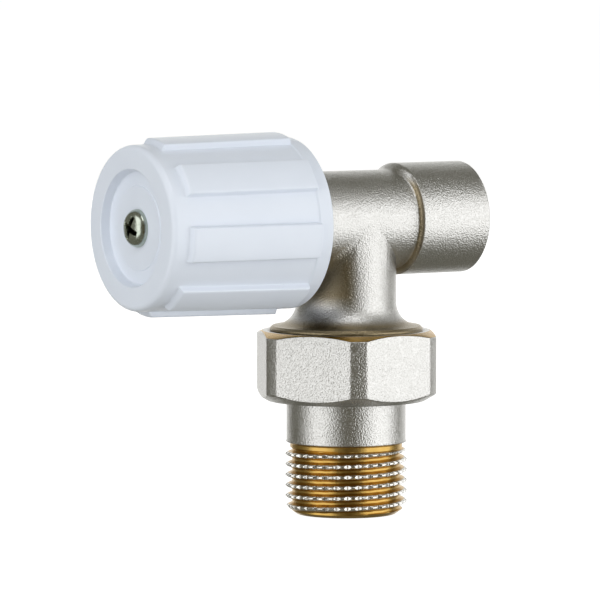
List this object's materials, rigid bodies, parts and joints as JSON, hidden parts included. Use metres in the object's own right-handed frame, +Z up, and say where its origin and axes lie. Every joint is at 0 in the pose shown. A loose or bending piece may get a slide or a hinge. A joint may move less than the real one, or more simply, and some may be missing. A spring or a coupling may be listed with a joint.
{
  "type": "angled radiator valve",
  "caption": "Angled radiator valve: hand knob on a rising spindle, pipe socket in line with it, union nut and threaded tailpiece at right angles.",
  "frame": {"origin": "centre of the tailpiece's end face", "axes": "+Z up the tailpiece to the valve body, +X from the neck axis towards the pipe socket, so the knob points along -X"},
  "size_m": [0.0675, 0.0312, 0.0663],
  "materials": {
    "nickel_plate": "shot blasted brass with satin nickel plate, bare brass in the cut thread",
    "bare_brass": "turned brass",
    "seal_fibre": "pressed fibre, dull",
    "packing": "pressed white packing",
    "spring_wire": "drawn stainless wire",
    "disc_rubber": "black rubber",
    "knob_plastic": "cool white moulded plastic, half gloss",
    "zinc_plate": "bright zinc plated steel"
  },
  "bodies": {
    "tail": {"tailpiece": "nickel_plate", "union_seal": "seal_fibre"},
    "nut": {"union_nut": "nickel_plate"},
    "valve": {"valve_body": "nickel_plate", "bonnet": "bare_brass", "bonnet_seal": "seal_fibre", "packing_ring": "packing", "gland_washer": "bare_brass", "gland_nut": "bare_brass"},
    "disc": {"jumper": "bare_brass", "jumper_clip": "spring_wire", "disc_washer": "disc_rubber", "disc_nut": "bare_brass"},
    "handwheel": {"spindle": "bare_brass", "knob": "knob_plastic", "knob_screw": "zinc_plate"}
  },
  "joints": [
    {"name": "union_nut_turn", "type": "hinge", "parent": "tail", "child": "nut", "pos_m": [0, 0, 0.022], "axis": [0, 0, -1], "range_deg": [0, 1260]},
    {"name": "union_part", "type": "slide", "parent": "tail", "child": "valve", "axis": [0, 0, 1], "range_m": [0, 0.00635]},
    {"name": "disc_lift", "type": "slide", "parent": "valve", "child": "disc", "axis": [-1, 0, 0], "range_m": [0, 0.003]},
    {"name": "knob_turn", "type": "hinge", "parent": "disc", "child": "handwheel", "pos_m": [-0.025, 0, 0.05075], "axis": [-1, 0, 0], "range_deg": [0, 1080]}
  ],
  "couplings": [
    {"joint": "union_nut_turn", "follows": "union_part", "rad_per_m": 3463.7},
    {"joint": "knob_turn", "follows": "disc_lift", "rad_per_m": 6283.2}
  ]
}
